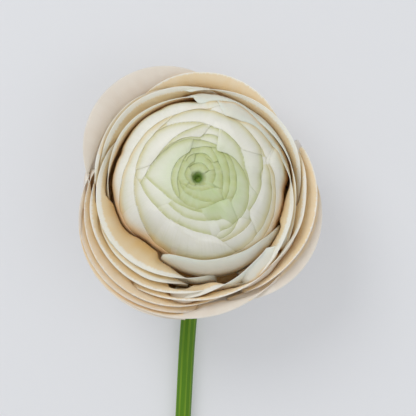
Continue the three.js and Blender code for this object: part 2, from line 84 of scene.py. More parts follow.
BALL_BELLY = 29.6  # radius and height of the closed ball
BALL_CROWN = 22.6
PACKED_BELLY = 22.9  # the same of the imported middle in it
PACKED_CROWN = 20.0
PACKED_DIMPLE = (1.8, 4.5)  # depth and spread in degrees of the dimple in its top
PACKED_SINK = 0.15  # how far its own pieces lie below that
PACKED_RINGS = 24
PACKED_ENDS = (0.5, 110.0)  # slopes at its top and foot
HEART_SLOPE = 34.0  # slope at which it changes from green to white
FLAT_SIDE = (234, 29, 3.9)  # bearing, spread in degrees and depth of its flatter side
FLAT_SLOPES = (30, 75)  # slopes between which that sets in
FOOT_SLOPE = 102.0  # slope at which closed petals end, out of sight
CLOSED_REACH = 1.4  # how far they go under their neighbours
LEANING_GAP = 0.5  # height over the ball of the first loose petal to lean in
LEANING_STEP = 0.3  # how much higher each next one leans
PRESSED = 5.0  # degrees of slope over which a lip is pressed onto those under it
PACKING_GAP = 0.03  # between one petal and the next
MAP_EDGE = 106  # cells from the middle of the map of laid petals to its edge
DRAPE = 3  # cells over which a petal bends down behind the lip of one under it
LIP_STEPS = 121  # places across a petal at which its lip is worked out
LIP_ROUNDS = 3
LIP_TAPER = 4.0  # distance over which a petal grows to its full thickness
CLOSED_LUMPS = 0.06  # height of the lumps of closed and of loose petals
LOOSE_LUMPS = 0.25
LUMP_SLOPES = (88, 80)  # slopes between which those of loose petals set in
LYING_LEVELS = (0.02, 0.4)  # least height of both faces of a petal lying on the table
NO_LIP = 20.0  # distance past which no other lip's painted shade reaches a point
SHADE_END = 1.05  # place across a petal up to which its lip lays painted shade on others

CUP_GRID, BALL_GRID, HEART_GRID, SEPAL_GRID = (81, 49), (81, 45), (57, 37), (33, 33)
ROW_CROWDING = 1.35  # power with which rows of points crowd towards the lip
SIDE_DISTANCE = 1.6  # factor by which a side edge counts as further than the lip
ROUND_SIDES = 96
CUP_SEEDS, BALL_SEEDS, HEART_SEEDS, SEPAL_SEEDS = 100, 200, 300, 400
SEED_STEP = 100
SWELL_SEEDS = 500  # added to a petal's seed for its lumps
NOISE_STEP = 7.0  # distance in the noise from one petal to the next


class Petal(NamedTuple):
    """One petal. Its middle points in direction `at` and its lip spans `half` degrees each way.

    lip and belly are radii, either one number or those at its near edge, middle and far edge.
    height is the level of its lip, depth how low its underside hangs, reach how far it goes on
    under its neighbours, as a share of half, and sag how much lower its far edge hangs.
    A closed petal lies on those under it, so it has no belly, height or depth of its own.
    """

    at: float
    half: float
    lip: object
    belly: object = 0
    height: float = 0
    depth: float = 0
    reach: float = 1.35
    sag: float = 0


# Each table runs from the innermost petal outwards, each row in the order of the sizes above.
CUP_PETALS = [Petal(*row) for row in (
    (289, 36, (25.4, 26.2, 28.6), (27.6, 30, 30.6), 8.7, 17.6, 1.3),
    (120, 42, (28.4, 30.3, 30.4), 30.5, 9, 17.8, 1.6),
    (8, 54, (35.2, 29.8, 24), 30.9, 9.2, 17.8),
    (214, 50, (32.5, 34.2, 31), 31.4, 7.3, 18.6),
    (31, 50, (33.8, 29.9, 27), 31.8, 9.1, 18.9),
    (125, 36, (33.4, 34.9, 33.8), 32.2, 7, 19.3),
    (229, 26, (34.6, 35.7, 33.6), 32.6, 6.7, 19),
    (299, 28, (36.4, 32.4, 29.8), (34.4, 34.2, 32), 6.9, 19.6, 1.5),
    (53, 46, (34.4, 34.5, 31.2), 33.5, 7.2, 19.9),
    (150, 32, (35.8, 35.6, 33.4), 33.9, 6.7, 20.2),
    (340, 36, (35.6, 36.2, 35.6), 34.3, 6.5, 20.2),
    (231, 50, (34.9, 38.4, 33.4), 34.7, 5.6, 20.6),
    (292, 42, (39, 37.2, 34.4), 35.1, 5.6, 20.9),
    (84, 42, (35.4, 39, 34.8), 35.6, 5.3, 21.2),
    (338, 36, (39, 40.1, 38.4), 36, 4.8, 22, 1.25),
    (231, 50, (36.8, 42, 37.6), 36.4, 4, 21.8, 1.25),
    (230, 32, (41.4, 44, 42.2), 36.8, 3.2, 22.6, 1.25),
    (136, 38, (41.6, 45, 37), 37.2, 2.8, 30.7, 1.25, 3),
    (336, 41, (41.2, 43.6, 36), 37.7, 2, 32.4, 1.25, 1.2),
    (217, 38, (37.6, 44.4, 45), 38.1, 3, 23.6, 1.25),
    (268, 38, (45, 43.9, 40.4), 38.5, 3.2, 21.9, 1.25),
)]


def closed_petals(rows):
    """Petals of rows of direction, half-width and the lip's three radii."""
    return [Petal(at, half, lip, reach=CLOSED_REACH) for at, half, *lip in rows]


BALL_PETALS = closed_petals([
    (75, 42, 12.3, 10.9, 9.3),
    (187, 76, 8.8, 8.7, 9.8),
    (295, 36, 11.7, 9.9, 13.2),
    (102, 42, 12.3, 13.2, 14),
    (10, 44, 13.2, 12.6, 12.8),
    (226, 50, 17.4, 11.1, 11.4),
    (69, 44, 14.6, 15.3, 13.8),
    (262, 38, 12.9, 13.6, 15.5),
    (354, 58, 18.7, 16.7, 11.2),
    (281, 34, 16, 20.3, 19),
    (140, 52, 13.9, 14.7, 20),
    (123, 38, 18, 15.2, 16.1),
    (31, 36, 16.8, 16.7, 23.6),
    (318, 46, 20.5, 22.2, 21.1),
    (84, 48, 17.3, 18.6, 21),
    (232, 50, 19, 16.2, 18.4),
    (9, 38, 19.6, 21.9, 24.6),
    (183, 62, 21.5, 21, 24.6),
    (60, 38, 23.9, 24.1, 24.6),
    (321, 50, 25.8, 25.8, 23.4),
    (140, 58, 25.5, 23.5, 27),
    (329, 44, 28.8, 27.2, 25.1),
])

HEART_PETALS = closed_petals([
    (120, 70, 0.7, 0.6, 0.7),
    (350, 60, 1.2, 1, 0.9),
    (225, 60, 1.4, 1.2, 1.4),
    (100, 60, 2, 1.7, 1.5),
    (330, 54, 2.6, 2.9, 2.6),
    (190, 54, 2.3, 1.9, 1.9),
    (80, 48, 4.4, 4.8, 4.4),
    (265, 58, 3.6, 2.8, 3.6),
    (23, 44, 5.2, 6.2, 6.8),
    (158, 54, 5.5, 4.2, 3.4),
    (268, 60, 5, 4.4, 6.6),
    (85, 40, 7.1, 8.2, 6.6),
    (14, 48, 9.3, 8.2, 10.2),
    (246, 54, 5.9, 6.7, 9),
    (8, 48, 11.6, 10.6, 11.8),
    (164, 58, 8.9, 6.6, 7.8),
])

CUP_CORE = (6.0, 36.2, 20.4)  # root, belly and depth of the bowl under the ball
CUP_CORE_SHARE = 0.7  # how far up to its belly it reaches
CUP_CORE_RIM = 4.0  # width of its rim, and level inside that
CUP_CORE_TOP = -9.0
CUP_CORE_RINGS = 14

# The stem: its swollen top, an arc down from that, and x and y of its places along the table,
# counted from the bloom's centre.
RECEPTACLE_HEIGHT = -18.6
RECEPTACLE = [(2.9, -23.6), (3.3, -22.2), (4.4, -20.4), (4.7, -19.4), (4.5, -18.7)]  # radius, height
NECK_START = 0.6
NECK_RADIUS = 2.9
NECK_RUN = (-0.6, -8.0)  # x, and how far on from the arc
NECK_STEPS = 24
STEM_LINE = [(-3.3, -44.7), (-5.3, -78.0), (-7.4, -122.0), (-8.8, -172.0)]
STEM_STEPS = 90
STEM_RADIUS = 2.45  # at its far end
STEM_END = [(2.33, 0.0), (1.25, 0.0), (1.1, 0.3), (0.99, 4.0)]  # radius and depth: edge, rim, bore
STEM_SIDES = 72
STEM_RIBS = 9
RIB_START = 14.0  # distance from the bloom over which the ribs set in

CALYX_RING = [(4.95, -18.65), (4.95, -19.95), (6.65, -19.95), (6.95, -19.55), (6.95, -19.05),
              (6.55, -18.65)]  # radius, height
CALYX_SIDES = 64
SEPAL_RADII = (5.25, 13.55)  # where a sepal starts and ends
SEPAL_LEVEL = -19.35
SEPAL_DROP = 4.4
SEPAL_WIDTH = 7.0
SEPAL_ENDS = (0.2, 0.97)  # part of a half turn whose sine gives its width
SEPAL_CURL = 1.6  # power with which it drops
SEPAL_ARCH = 0.6  # how far its side edges hang
SEPAL_LUMPS = 0.12
SEPAL_ANGLES = (90, 150, 205, 335, 30)

HEART_OFFSET = (3.2, -0.6)  # middle of the green tint, off the bloom's axis
TINT_BY_PETAL = 0.6  # share of it that goes by a petal's lip, not by the point's place

# Width, length and detail of the noise drawn out along petals and stem.
VEINS = (0.7, 14, 2.0)
CLOUDS = (5, 9, 3.0)
STREAKS = (0.45, 25, 3.0)
FOLDS = 0.5  # width of the folds of packed tissue

# Camera in mm from the middle of the bloom, table and lamps in metres.
CAMERA_OFFSET = (3.33, -6.33)
TABLE_REACH = 2.5
STUDIO_LIGHTS = [  # name, place, size in metres, power in watts
    ("Soft key", (-0.7, 0.75, 1.1), 0.9, 9.0),
    ("Soft fill", (0.9, -0.3, 1.2), 1.2, 2.5),
]


# ---- Settings that a user may change ----


def linear(hex_colour):
    """Linear RGB of an sRGB hex colour such as "#d9d6cc"."""
    values = np.array([int(hex_colour[i : i + 2], 16) for i in (1, 3, 5)]) / 255
    return tuple(np.where(values <= 0.04045, values / 12.92, ((values + 0.055) / 1.055) ** 2.4))


def colour(label, words, hex_colour):
    return FloatVectorProperty(
        name=label, description=words, default=linear(hex_colour), subtype="COLOR", min=0, max=1
    )


def length(label, words, millimetres):
    return FloatProperty(
        name=label, description=words, default=millimetres * MM, min=0, unit="LENGTH", precision=5
    )


def strength(label, words, value):
    return FloatProperty(name=label, description=words, default=value, min=0)


class BloomSettings(bpy.types.PropertyGroup):
    """Sizes and colours of the petals."""

    thickness: length("Petal thickness", "Thickness of a petal away from its lip", 0.3)
    lip_thickness: length("Lip thickness", "Thickness of a petal at its free edge", 0.16)
    cup_ripple: length("Cup ripple", "How far the lips of the loose petals wander", 0.55)
    ball_ripple: length("Ball ripple", "How far the lips of the closed petals wander", 0.22)
    margin: length("White margin", "Width of the white margin of a blush petal", 2.4)
    white: colour("White", "Petal tissue near the lips", "#fcfbf6")
    cream: colour("Cream", "White petals further down", "#f6f5e9")
    peach: colour("Peach", "Inner face of a blush petal", "#f5dfb7")
    apricot: colour("Apricot", "Inner face of a blush petal near its root", "#efcc8b")
    # painted shade, golden like light that has come through the blush petals: laid under the lips of
    # other petals and low on the closed ball
    shade_gold: colour("Gold", "Creases between the blush petals", "#fad791")
    pearl: colour("Pearl", "Outer face of the innermost blush petals", "#edf3ec")
    pink: colour("Pink", "Outer face of a blush petal", "#e9e2da")
    shade: colour("Shade", "White petals where they go under others", "#dfe0bb")
    green: colour("Green", "Petals of the heart", "#cbdf93")
    # painted shade, mossy green: laid under the lips of other petals near the heart
    shade_moss: colour("Moss", "Creases between the petals of the heart", "#cbd172")
    pit: colour("Pit", "Innermost petals, in the dimple of the heart", "#5f8a12")


class StemSettings(bpy.types.PropertyGroup):
    """Sizes and colours of the stem and calyx."""

    rib_height: length("Rib height", "How far the ribs of the stem stand out", 0.09)
    stem_green: colour("Stem", "Skin of the stem", "#4f7a12")
    stem_light: colour("Stem ribs", "Paler ribs of the stem", "#7c9c26")
    sepal_green: colour("Sepals", "Skin of the sepals", "#7c9a3f")


class StageSettings(bpy.types.PropertyGroup):
    """Table, light and camera."""

    table: colour("Table", "Pale table top", "#b4b5b7")
    table_glow: strength("Table glow", "Light that the translucent table top gives off", 0.57)
    fill: strength("Fill", "Strength of the even light of the white studio", 0.74)
    key: strength("Key", "Strength of the lamps, as a share of their power", 1.0)
    camera_height: length("Camera height", "Height of the lens above the middle of the bloom", 700)
    view_width: length("View width", "Width of the picture at that level", 138.67)


# ---- Petal surfaces ----


def placed(points):
    """Leans the bloom towards +Y by its tilt, moves it over the table and turns mm to metres."""
    x, y, z = np.moveaxis(points, -1, 0)
    c, s = math.cos(BLOOM_TILT), math.sin(BLOOM_TILT)
    return (np.stack([x, y * c + z * s, z * c - y * s], axis=-1) + BLOOM_CENTRE) * MM


def mix(a, b, share):
    return a + (b - a) * share


def smooth(low, high, value):
    """S-shaped step from 0 at low to 1 at high: 3 t squared minus 2 t cubed."""
    t = np.clip((value - low) / (high - low), 0, 1)
    return t * t * (3 - 2 * t)


def conic(radii, u):
    """Radius across a petal: one over it is the quadratic in u through the three given radii."""
    near, middle, far = 1 / np.broadcast_to(radii, 3)
    over = middle + (far - near) / 2 * u + ((far + near) / 2 - middle) * u * u
    return 1 / np.maximum(over, 1 / WIDEST)


def ripple(u, seed):
    """Wandering of a lip, about 1 high: three sines of u whose phases come from the seed."""
    phases = np.random.default_rng(seed).uniform(0, 2 * math.pi, 3)
    waves = ((0.6, 2.6), (0.3, 6.1), (0.14, 13.0))
    return sum(size * np.sin(turns * u + start) for (size, turns), start in zip(waves, phases))


def swell(u, v, seed):
    """Gentle lumps of a petal's face, about 1 high: two sines crossing at a slant."""
    a, b, c = np.random.default_rng(seed + SWELL_SEEDS).uniform(0, 2 * math.pi, 3)
    return 0.6 * np.sin(4.2 * u + 2.0 * v + a) + 0.4 * np.sin(7.5 * u - 4.5 * v + b) * np.cos(3 * v + c)


def around_axis(degrees, radius, height):
    angle = np.radians(degrees)
    return np.stack([radius * np.cos(angle), radius * np.sin(angle), height], axis=-1)


def across_petal(bearing, at, half):
    """Place of a bearing across a petal, -1 at its near edge and 1 at its far edge."""
    return ((bearing - at + 180) % 360 - 180) / half


def from_centre(bearing, slope, reach):
    """Points at a bearing, a slope from the axis and a reach from the bloom's centre."""
    lean = np.radians(slope)
    return around_axis(bearing, reach * np.sin(lean), reach * np.cos(lean))


def core_reach(slope, bearing):
    """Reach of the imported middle: a spheroid, less a bell-shaped dimple round its top.

    One side is flatter: there a second bell across the bearings, low down, is taken off it.
    """
    lean = np.radians(slope)
    whole = 1 / np.hypot(np.sin(lean) / PACKED_BELLY, np.cos(lean) / PACKED_CROWN)
    at, spread, depth = FLAT_SIDE
    flat = depth * np.exp(-(across_petal(bearing, at, spread) ** 2)) * smooth(*FLAT_SLOPES, slope)
    return whole - flat - PACKED_DIMPLE[0] * np.exp(-((slope / PACKED_DIMPLE[1]) ** 2))


# The map of petals laid so far is a disc: its middle is the top of the bloom, and a cell is one
# degree of slope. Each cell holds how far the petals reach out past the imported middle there.
map_x, map_y = np.meshgrid(*[np.arange(-MAP_EDGE, MAP_EDGE + 1.0)] * 2)
MAP_BEARING = np.degrees(np.arctan2(map_y, map_x))
MAP_SLOPE = np.hypot(map_x, map_y)
MAP_STEPS = range(-DRAPE, DRAPE + 1)
MAP_WEIGHTS = np.hanning(2 * DRAPE + 3)[1:-1] / np.hanning(2 * DRAPE + 3).sum()


def blurred(layers):
    """The map averaged over the cells around each, with less weight further off."""
    for axis in (0, 1):
        layers = sum(w * np.roll(layers, step, axis) for step, w in zip(MAP_STEPS, MAP_WEIGHTS))
    return layers


def draped(layers):
    """Skin over the petals laid so far: their highest within a few cells, blurred as far again."""
    for axis in (0, 1):
        layers = np.max([np.roll(layers, step, axis) for step in MAP_STEPS], axis=0)
    return blurred(layers)


def read_map(layers, bearing, slope):
    """Values of a map between its cells, in proportion to the nearness of the four around."""
    angle = np.radians(bearing)
    x = np.clip(MAP_EDGE + slope * np.cos(angle), 0, 2 * MAP_EDGE - 0.001)
    y = np.clip(MAP_EDGE + slope * np.sin(angle), 0, 2 * MAP_EDGE - 0.001)
    i, j = y.astype(int), x.astype(int)
    a, b = y - i, x - j
    near = mix(layers[i, j], layers[i, j + 1], b)
    return mix(near, mix(layers[i + 1, j], layers[i + 1, j + 1], b), a)


def dome(radius):
    """Height of the closed ball at a radius, half an ellipse; 0 outside it."""
    return BALL_CROWN * np.sqrt(np.maximum(0, 1 - (radius / BALL_BELLY) ** 2))


def cup_lip_slope(petal, order, u, radius):
    """Slope of a loose petal's lip: at its own height, or leaning on the ball and those inside."""
    corner = np.maximum(0, (np.abs(u) - CORNER_START) / (1 - CORNER_START))
    free = petal.height * (1 - CORNER_DROP * np.minimum(corner, 1) ** 2)
    over_ball = dome(radius) + LEANING_GAP + LEANING_STEP * order
    leaning = np.where(radius < BALL_BELLY, over_ball, 0)
    return np.degrees(np.arctan2(radius, np.maximum(free, leaning)))


def wall_reach(petal, u, slope, lip_slope, skin):
    """Reach of a loose petal's wall: close round those inside it, then out to its lip.

    It goes from the skin over them to the lip's radius with a power of the rise, and near the
    belly it eases in from the belly's own radius. A petal that leans in keeps to its belly's.
    """
    belly = conic(petal.belly, u)
    belly_slope = np.degrees(np.arctan2(belly, BELLY_HEIGHT))
    lean = np.sin(np.radians(slope))
    leaning_in = smooth(1, -1, conic(petal.lip, u) - belly)
    close = mix(skin, belly / lean, np.maximum(leaning_in, smooth(*BELLY_SLOPES, slope)))
    rise = np.clip((belly_slope - slope) / (belly_slope - lip_slope), 0, 1)
    return mix(close, conic(petal.lip, u) / lean, rise**CUP_LEAN)


def past_end(petal, u):
    """How far a lip has sunk at its ends: 0 along it, to nearly 1 on a quarter ellipse past it."""
    past = np.clip((np.abs(u) - 1) / (petal.reach - 1), 0, 1)
    return 1 - np.sqrt(1 - END_SUNK * past**2)


class Laid(NamedTuple):
    """A petal in its place: its lip's slope and radius across it, and the skins it lies on.

    Its face lies on `skin`, and its lip is pressed down to `close`. wall is its thickness.
    """

    petal: Petal
    seed: int
    wall: float
    across: object
    lip_slope: object
    lip_radius: object
    skin: object
    close: object


def lip_of(laid, u, values):
    return np.interp(u, laid.across, values)


def face_reach(laid, u, slope):
    """Reach of a petal's middle surface: close over those under it, or free where it leans out.

    Closed petals follow the skin over the petals under them. Loose petals keep their own form
    wherever that clears the skin. Both carry gentle lumps.
    """
    petal = laid.petal
    bearing = petal.at + petal.half * u
    lip_slope = lip_of(laid, u, laid.lip_slope)
    height = read_map(laid.skin, bearing, slope)
    pressed = smooth(PRESSED, 0, slope - lip_slope)
    height = mix(height, np.minimum(height, read_map(laid.close, bearing, slope)), pressed)
    skin = core_reach(slope, bearing) + height + laid.wall / 2 + PACKING_GAP
    v = (FOOT_SLOPE - slope) / FOOT_SLOPE
    if not petal.height:
        return skin + CLOSED_LUMPS * swell(u, v, laid.seed)
    free = wall_reach(petal, u, slope, lip_slope, skin)
    free = free + LOOSE_LUMPS * swell(u, v, laid.seed) * smooth(*LUMP_SLOPES, slope)
    pushed = np.maximum(free, skin)
    return mix(pushed, free, smooth(*BELLY_SLOPES, slope))


def laid_petals():
    """Lays every petal over those under it, from the heart outwards, and lists them in that order.

    A closed petal's lip has its plan radius on the skin that it lies on, which a few rounds of
    the arc sine of radius over reach find.
    """
    bloom = bpy.context.scene.ranunculus_bloom
    layers = np.zeros_like(MAP_SLOPE)
    order = [*enumerate(HEART_PETALS, HEART_SEEDS), *enumerate(BALL_PETALS, BALL_SEEDS)]
    order += enumerate(CUP_PETALS, CUP_SEEDS)
    wall = bloom.thickness / MM
    result = []
    for seed, petal in order:
        u = np.linspace(-petal.reach, petal.reach, LIP_STEPS)
        bearing = petal.at + petal.half * u
        skin = draped(layers)
        loose = petal.height > 0
        amount = (bloom.cup_ripple if loose else bloom.ball_ripple) / MM
        radius = conic(petal.lip, np.clip(u, -END_BEND, END_BEND)) + amount * ripple(u, seed)
        if loose:
            lip_slope = cup_lip_slope(petal, seed - CUP_SEEDS, u, radius)
            lowest = CUP_END_SLOPE
        else:
            lip_slope = np.degrees(np.arctan2(radius, dome(radius)))
            for _ in range(LIP_ROUNDS):
                reach = core_reach(lip_slope, bearing) + read_map(skin, bearing, lip_slope)
                lip_slope = np.degrees(np.arcsin(np.minimum(radius / reach, 0.99)))
            lowest = FOOT_SLOPE
        lip_slope = mix(lip_slope, lowest, past_end(petal, u))
        laid = Laid(petal, seed, wall, u, lip_slope, radius, skin, blurred(layers))
        on_lip = face_reach(laid, u, lip_slope) * np.sin(np.radians(lip_slope))
        result.append(laid._replace(lip_radius=on_lip))
        cell = across_petal(MAP_BEARING, petal.at, petal.half)
        inside = (np.abs(cell) <= petal.reach) & (MAP_SLOPE >= lip_of(laid, cell, lip_slope))
        top = face_reach(laid, cell, np.clip(MAP_SLOPE, 1, FOOT_SLOPE)) + wall / 2
        higher = np.maximum(layers, top - core_reach(MAP_SLOPE, MAP_BEARING))
        layers = np.where(inside, higher, layers)
    return result


def closed_surface(laid, u, v):
    """A closed petal: from its hidden foot up over the petals under it to its lip."""
    slope = mix(FOOT_SLOPE, lip_of(laid, u, laid.lip_slope), v)
    return from_centre(laid.petal.at + laid.petal.half * u, slope, face_reach(laid, u, slope))


def underside(root, belly, depth, share):
    """Radius and height below a cup: a quarter ellipse out from the root and up to the belly.

    It is lifted to the root by a cubic step over the dimple round the stem.
    """
    quarter = share * math.pi / 2
    radius = mix(root, belly, np.sin(quarter))
    dimple = np.clip((radius - root) / (DIMPLE_SHARE * belly - root), 0, 1)
    lift = (ROOT_HEIGHT + depth) * (1 - dimple) ** 2 * (1 + 2 * dimple)
    return radius, mix(-depth, BELLY_HEIGHT, 1 - np.cos(quarter)) + lift


def loose_surface(laid, u, v):
    """A loose petal: out from the stem along its underside to its belly, and up its wall."""
    petal = laid.petal
    belly = conic(petal.belly, u)
    inner, outer = ROOT_BELLIES
    root = mix(*ROOT_RADII, np.clip((conic(petal.belly, 0) - inner) / (outer - inner), 0, 1))
    depth = petal.depth + petal.sag * u
    narrow = mix(CLAW_SHARE, 1, smooth(0, CLAW_END, v))
    bearing = petal.at + petal.half * u * narrow
    below = around_axis(bearing, *underside(root, belly, depth, np.clip(v / BELLY_SHARE, 0, 1)))
    belly_slope = np.degrees(np.arctan2(belly, BELLY_HEIGHT))
    rise = np.clip((v - BELLY_SHARE) / (1 - BELLY_SHARE), 0, 1)
    slope = mix(belly_slope, lip_of(laid, u, laid.lip_slope), rise)
    above = from_centre(bearing, slope, face_reach(laid, u, slope))
    return np.where((v > BELLY_SHARE)[..., None], above, below)


def lip_distance(points, others, side):
    """Plan distance in mm from each point to the nearest lip of the other petals.

    With side 1 only lips further out than the point count, and with side -1 those further in.
    """
    x, y = points[..., 0], points[..., 1]
    bearing = np.degrees(np.arctan2(y, x))
    radius = np.hypot(x, y)
    nearest = np.full(radius.shape, NO_LIP)
    for other in others:
        u = across_petal(bearing, other.petal.at, other.petal.half)
        gap = side * (lip_of(other, u, other.lip_radius) - radius)
        nearest = np.minimum(nearest, np.where((np.abs(u) <= SHADE_END) & (gap > 0), gap, NO_LIP))
    return nearest


# ---- Meshes ----


def petal_grid(columns, rows):
    """u from edge to edge and v from root to lip, with rows closer together near the lip."""
    across = np.linspace(-1, 1, columns)
    along = 1 - (1 - np.linspace(0, 1, rows)) ** ROW_CROWDING
    return np.meshgrid(across, along)


def unit(vectors):
    return vectors / np.maximum(np.linalg.norm(vectors, axis=-1, keepdims=True), 1e-9)


def outward(points):
    """Unit normals of a grid of points: the cross product of its two directions."""
    return unit(np.cross(np.gradient(points, axis=1), np.gradient(points, axis=0)))


def run_length(points, axis):
    """Distance in mm from the start of each grid line, summed step by step."""
    steps = np.linalg.norm(np.diff(points, axis=axis), axis=-1)
    start = np.zeros_like(steps.take([0], axis=axis))
    return np.concatenate([start, np.cumsum(steps, axis=axis)], axis=axis)


def edge_distance(points):
    """Distance in mm to the lip or to a side edge, whichever is nearer, blended smoothly."""
    along = run_length(points, 0)
    across = run_length(points, 1)
    to_lip = along[-1:] - along + 0.01
    to_sides = np.minimum(across, across[:, -1:] - across) * SIDE_DISTANCE + 0.01
    return (to_lip**-4.0 + to_sides**-4.0) ** -0.25


def grid_faces(index):
    """Corners of the faces of a grid of point numbers, running round each as seen from outside."""
    a, b, c, d = index[:-1, :-1], index[:-1, 1:], index[1:, 1:], index[1:, :-1]
    return np.stack([a, b, c, d], axis=-1).reshape(-1, 4)


def wall_faces(rows, columns):
    """Outer and inner faces of a thin wall, and the strip round its edge that closes it."""
    count = rows * columns
    index = np.arange(count).reshape(rows, columns)
    loop = np.concatenate([index[0], index[1:, -1], index[-1, -2::-1], index[-2:0:-1, 0]])
    after = np.roll(loop, -1)
    edge = np.stack([loop, loop + count, after + count, after], axis=-1)
    return np.concatenate([grid_faces(index), grid_faces(index + count)[:, ::-1], edge])


def new_object(name, data):
    made = bpy.data.objects.new(name, data)
    bpy.context.scene.collection.objects.link(made)
    return made


def new_piece(name, points, faces, look, values=None):
    """Object of the given points in metres, with one value of each name stored at each point.

    faces is a list of arrays, each holding faces of one number of corners, and look names the material,
    a slot that is not used, and the solid that the piece stands for.
    """
    material, slot, node = look
    corners = np.concatenate([group.ravel() for group in faces])
    sizes = np.concatenate([np.full(len(group), group.shape[1]) for group in faces])
    mesh = bpy.data.meshes.new(name)
    if not np.isfinite(points).all():
        raise RuntimeError(f"{name} has points that aren't numbers")
    mesh.vertices.add(len(points))
    mesh.vertices.foreach_set("co", points.astype(np.float32).ravel())
    mesh.loops.add(len(corners))
    mesh.loops.foreach_set("vertex_index", corners.astype(np.int32))
    mesh.polygons.add(len(sizes))
    mesh.polygons.foreach_set("loop_start", (np.cumsum(sizes) - sizes).astype(np.int32))
    mesh.polygons.foreach_set("use_smooth", np.ones(len(sizes), dtype=bool))
    mesh.update(calc_edges=True)
    for key, value in (values or {}).items():
        vector = value.ndim == 2
        layer = mesh.attributes.new(key, "FLOAT_VECTOR" if vector else "FLOAT", "POINT")
        layer.data.foreach_set("vector" if vector else "value", value.astype(np.float32).ravel())
    if mesh.validate():
        raise RuntimeError(f"{name} has faces that don't hold together")
    mesh.materials.append(material)
    piece = new_object(name, mesh)
    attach(piece, BODY)
    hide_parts(node)
    return piece


def petal_piece(name, points, seed, look, others=((), ()), lying=False):
    """Thin closed petal round a grid of points in the bloom's own frame.

    The wall grows from its thickness at the lip to its full thickness a little below it. others holds
    the petals outside and inside this one, whose lips set where shade is painted on it.
    """
    bloom = bpy.context.scene.ranunculus_bloom
    rows, columns = points.shape[:2]
    margin = edge_distance(points)
    grown = smooth(0, LIP_TAPER, margin)[..., None]
    half_wall = outward(points) * mix(bloom.lip_thickness, bloom.thickness, grown) / MM / 2
    sides = np.stack([points + half_wall, points - half_wall])
    x, y, level = np.moveaxis(sides, -1, 0)
    along = run_length(points, 0)
    across = np.linspace(-0.5, 0.5, columns) * run_length(points, 1)[:, -1].max()
    tissue = np.stack(np.broadcast_arrays(across, along, NOISE_STEP * seed), axis=-1)
    from_heart = np.hypot(x - HEART_OFFSET[0], y - HEART_OFFSET[1])
    whole_petal = from_heart[0, -1, columns // 2]
    outside, inside = others
    zeros = np.zeros_like(level)
    values = {
        "margin": zeros + margin,
        "inner_face": zeros + [[[0]], [[1]]],
        "covered": np.stack([lip_distance(sides[0], outside, 1), lip_distance(sides[1], inside, -1)]),
        "from_heart": mix(from_heart, whole_petal, TINT_BY_PETAL),
        "from_pole": np.hypot(x, y),
        "level": level,
        "age": zeros + np.clip((seed - CUP_SEEDS) / (len(CUP_PETALS) - 1), 0, 1),
    }
    values = {key: value.reshape(-1) for key, value in values.items()}
    values["tissue"] = np.concatenate([tissue, tissue]).reshape(-1, 3)
    metres = placed(sides)
    if lying:
        lowest = np.array(LYING_LEVELS) * MM
        metres[..., 2] = np.maximum(metres[..., 2], lowest[:, None, None])
    return new_piece(name, metres.reshape(-1, 3), [wall_faces(rows, columns)], look, values)


def turned_rings(profile, sides):
    """Points of a profile of radius and height carried round the bloom's axis, ring by ring."""
    radius, height = np.array(profile).T[..., None]
    bearing = np.arange(sides) * 360 / sides
    return around_axis(bearing, radius, height + 0 * bearing)


def closed_rings(rings):
    """Points and faces of a skin over rings of points, with a fan to a pole at both ends.

    Each ring runs anticlockwise about the way that the rings follow, and a pole is the middle
    of the ring beside it.
    """
    count, sides = rings.shape[:2]
    index = np.arange(count * sides).reshape(count, sides)
    after = np.roll(index, -1, axis=1)
    first = np.full(sides, count * sides)
    fans = [
        np.stack([first, after[0], index[0]], axis=-1),
        np.stack([first + 1, index[-1], after[-1]], axis=-1),
    ]
    poles = rings[[0, -1]].mean(axis=1)
    bands = grid_faces(np.pad(index, ((0, 0), (0, 1)), mode="wrap"))
    return np.concatenate([rings.reshape(-1, 3), poles]), [bands, *fans]


def packed_middle(top, bottom):
    """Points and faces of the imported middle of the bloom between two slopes, closed at both."""
    slope = np.linspace(bottom, top, PACKED_RINGS)[:, None]
    bearing = np.arange(ROUND_SIDES) * 360 / ROUND_SIDES
    return closed_rings(from_centre(bearing, slope, core_reach(slope, bearing) - PACKED_SINK))


# ---- Materials ----


def add(tree, kind, links=None, output=0, **settings):
    """Adds a shader node with its settings and gives the output that is asked for.

    links maps an input to what feeds it: a socket, a number or an RGB colour.
    """
    node = tree.nodes.new("ShaderNode" + kind)
    for key, value in settings.items():
        setattr(node, key, value)
    for key, value in (links or {}).items():
        socket = node.inputs[key]
        if isinstance(value, bpy.types.NodeSocket):
            tree.links.new(value, socket)
        else:
            socket.default_value = (*value, 1) if socket.type == "RGBA" else value
    return node.outputs[output] if node.outputs else None


def new_material(name):
    material = bpy.data.materials.new(name)
    material.use_nodes = True
    material.node_tree.nodes.clear()
    return material, material.node_tree


def painted(tree, base, layers):
    """Colour of a base with layers of colour over it, each between two limits of some value.

    A layer is a value (a socket, or the name the mesh stores it under), the two limits, how
    strong the layer is at each of them, and its colour. In between it follows an S.
    """
    for value, limits, strengths, paint in layers:
        if isinstance(value, str):
            value = add(tree, "Attribute", output="Fac", attribute_name=value)
        ends = dict(enumerate((value, *limits, *strengths)))
        share = add(tree, "MapRange", ends, interpolation_type="SMOOTHSTEP")
        base = add(tree, "Mix", {0: share, 6: base, 7: paint}, 2, data_type="RGBA")
    return base


def drawn_noise(tree, across, along, detail):
    """Noise from 0 to 1, in patches of the given mm across and along a petal or stem."""
    place = add(tree, "Attribute", output="Vector", attribute_name="tissue")
    drawn = add(tree, "Mapping", {"Vector": place, "Scale": (1 / across, 1 / along, 1)})
    return add(tree, "TexNoise", {"Vector": drawn, "Scale": 1.0, "Detail": detail})


